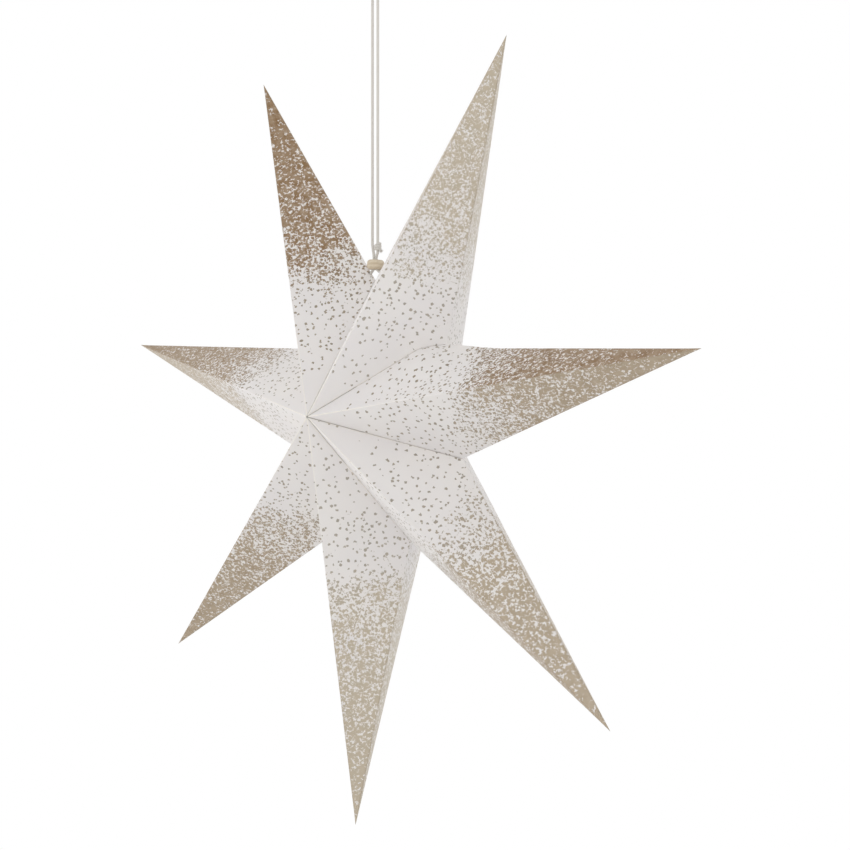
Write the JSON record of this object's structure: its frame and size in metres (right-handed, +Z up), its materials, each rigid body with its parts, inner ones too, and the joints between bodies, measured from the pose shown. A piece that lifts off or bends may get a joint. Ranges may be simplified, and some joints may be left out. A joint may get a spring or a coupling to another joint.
{
  "type": "paper star lantern",
  "caption": "Folded card star lantern with long points, gold speckle print, a cord loop with a wooden bead, and a lamp holder with a bulb inside.",
  "frame": {"origin": "underside of the cord loop's top, where a hook carries the lantern", "axes": "+Z up along the cord, the star's flatter front faces -Y, +X to the right as seen from the front"},
  "size_m": [0.5878, 0.1501, 0.6397],
  "materials": {
    "hanging_cord": "twisted white cotton",
    "cord_knot": "twisted white cotton",
    "cord_lead": "twisted white cotton",
    "closing_loop": "twisted white cotton",
    "cord_bead": "pale turned wood",
    "point_1": "matt white card with a gold speckle print",
    "point_2": "matt white card with a gold speckle print",
    "point_3": "matt white card with a gold speckle print",
    "point_4": "matt white card with a gold speckle print",
    "point_5": "matt white card with a gold speckle print",
    "point_6": "matt white card with a gold speckle print",
    "point_7": "matt white card with a gold speckle print",
    "lamp_bail": "bright wire",
    "holder_cap": "white",
    "cable_gland": "white",
    "holder_body": "white",
    "contact_block": "white",
    "socket_sleeve": "rolled sheet",
    "centre_contact": "rolled sheet",
    "terminal_screw_left": "zinc plated",
    "terminal_screw_right": "zinc plated",
    "bulb_contact": "nickel plated sheet",
    "bulb_insulator": "black",
    "bulb_cap": "nickel plated sheet",
    "bulb_base": "white",
    "led_board": "white coated board",
    "bulb_globe": "opal white"
  },
  "bodies": {
    "cord": {"hanging_cord": "hanging_cord", "cord_knot": "cord_knot", "cord_lead": "cord_lead"},
    "closing_loop": {"closing_loop": "closing_loop"},
    "bead": {"cord_bead": "cord_bead"},
    "star": {"point_1": "point_1", "point_2": "point_2", "point_3": "point_3", "point_4": "point_4", "point_5": "point_5", "point_6": "point_6", "point_7": "point_7"},
    "bail": {"lamp_bail": "lamp_bail"},
    "holder": {"holder_cap": "holder_cap", "cable_gland": "cable_gland", "holder_body": "holder_body", "contact_block": "contact_block", "socket_sleeve": "socket_sleeve", "centre_contact": "centre_contact", "terminal_screw_left": "terminal_screw_left", "terminal_screw_right": "terminal_screw_right"},
    "bulb": {"bulb_contact": "bulb_contact", "bulb_insulator": "bulb_insulator", "bulb_cap": "bulb_cap", "bulb_base": "bulb_base", "led_board": "led_board", "bulb_globe": "bulb_globe"}
  },
  "joints": [
    {"name": "star_turn", "type": "hinge", "parent": "cord", "child": "closing_loop", "pos_m": [0, 0, -0.2169], "axis": [0, 0, 1], "range_deg": [-180, 180]},
    {"name": "bead_slide", "type": "slide", "parent": "closing_loop", "child": "bead", "axis": [0, 0, 1], "range_m": [0, 0.003]},
    {"name": "star_nod", "type": "hinge", "parent": "closing_loop", "child": "star", "pos_m": [0, 0, -0.2225], "axis": [1, 0, 0], "range_deg": [-4, 4]},
    {"name": "bail_swing", "type": "hinge", "parent": "closing_loop", "child": "bail", "pos_m": [0, 0, -0.24], "axis": [1, 0, 0], "range_deg": [-4, 4]},
    {"name": "holder_tilt", "type": "hinge", "parent": "bail", "child": "holder", "pos_m": [0, 0, -0.2725], "axis": [0, 1, 0], "range_deg": [-6, 6]},
    {"name": "bulb_turn", "type": "hinge", "parent": "holder", "child": "bulb", "pos_m": [0, 0, -0.2941], "axis": [0, 0, -1], "range_deg": [0, 1440]}
  ]
}
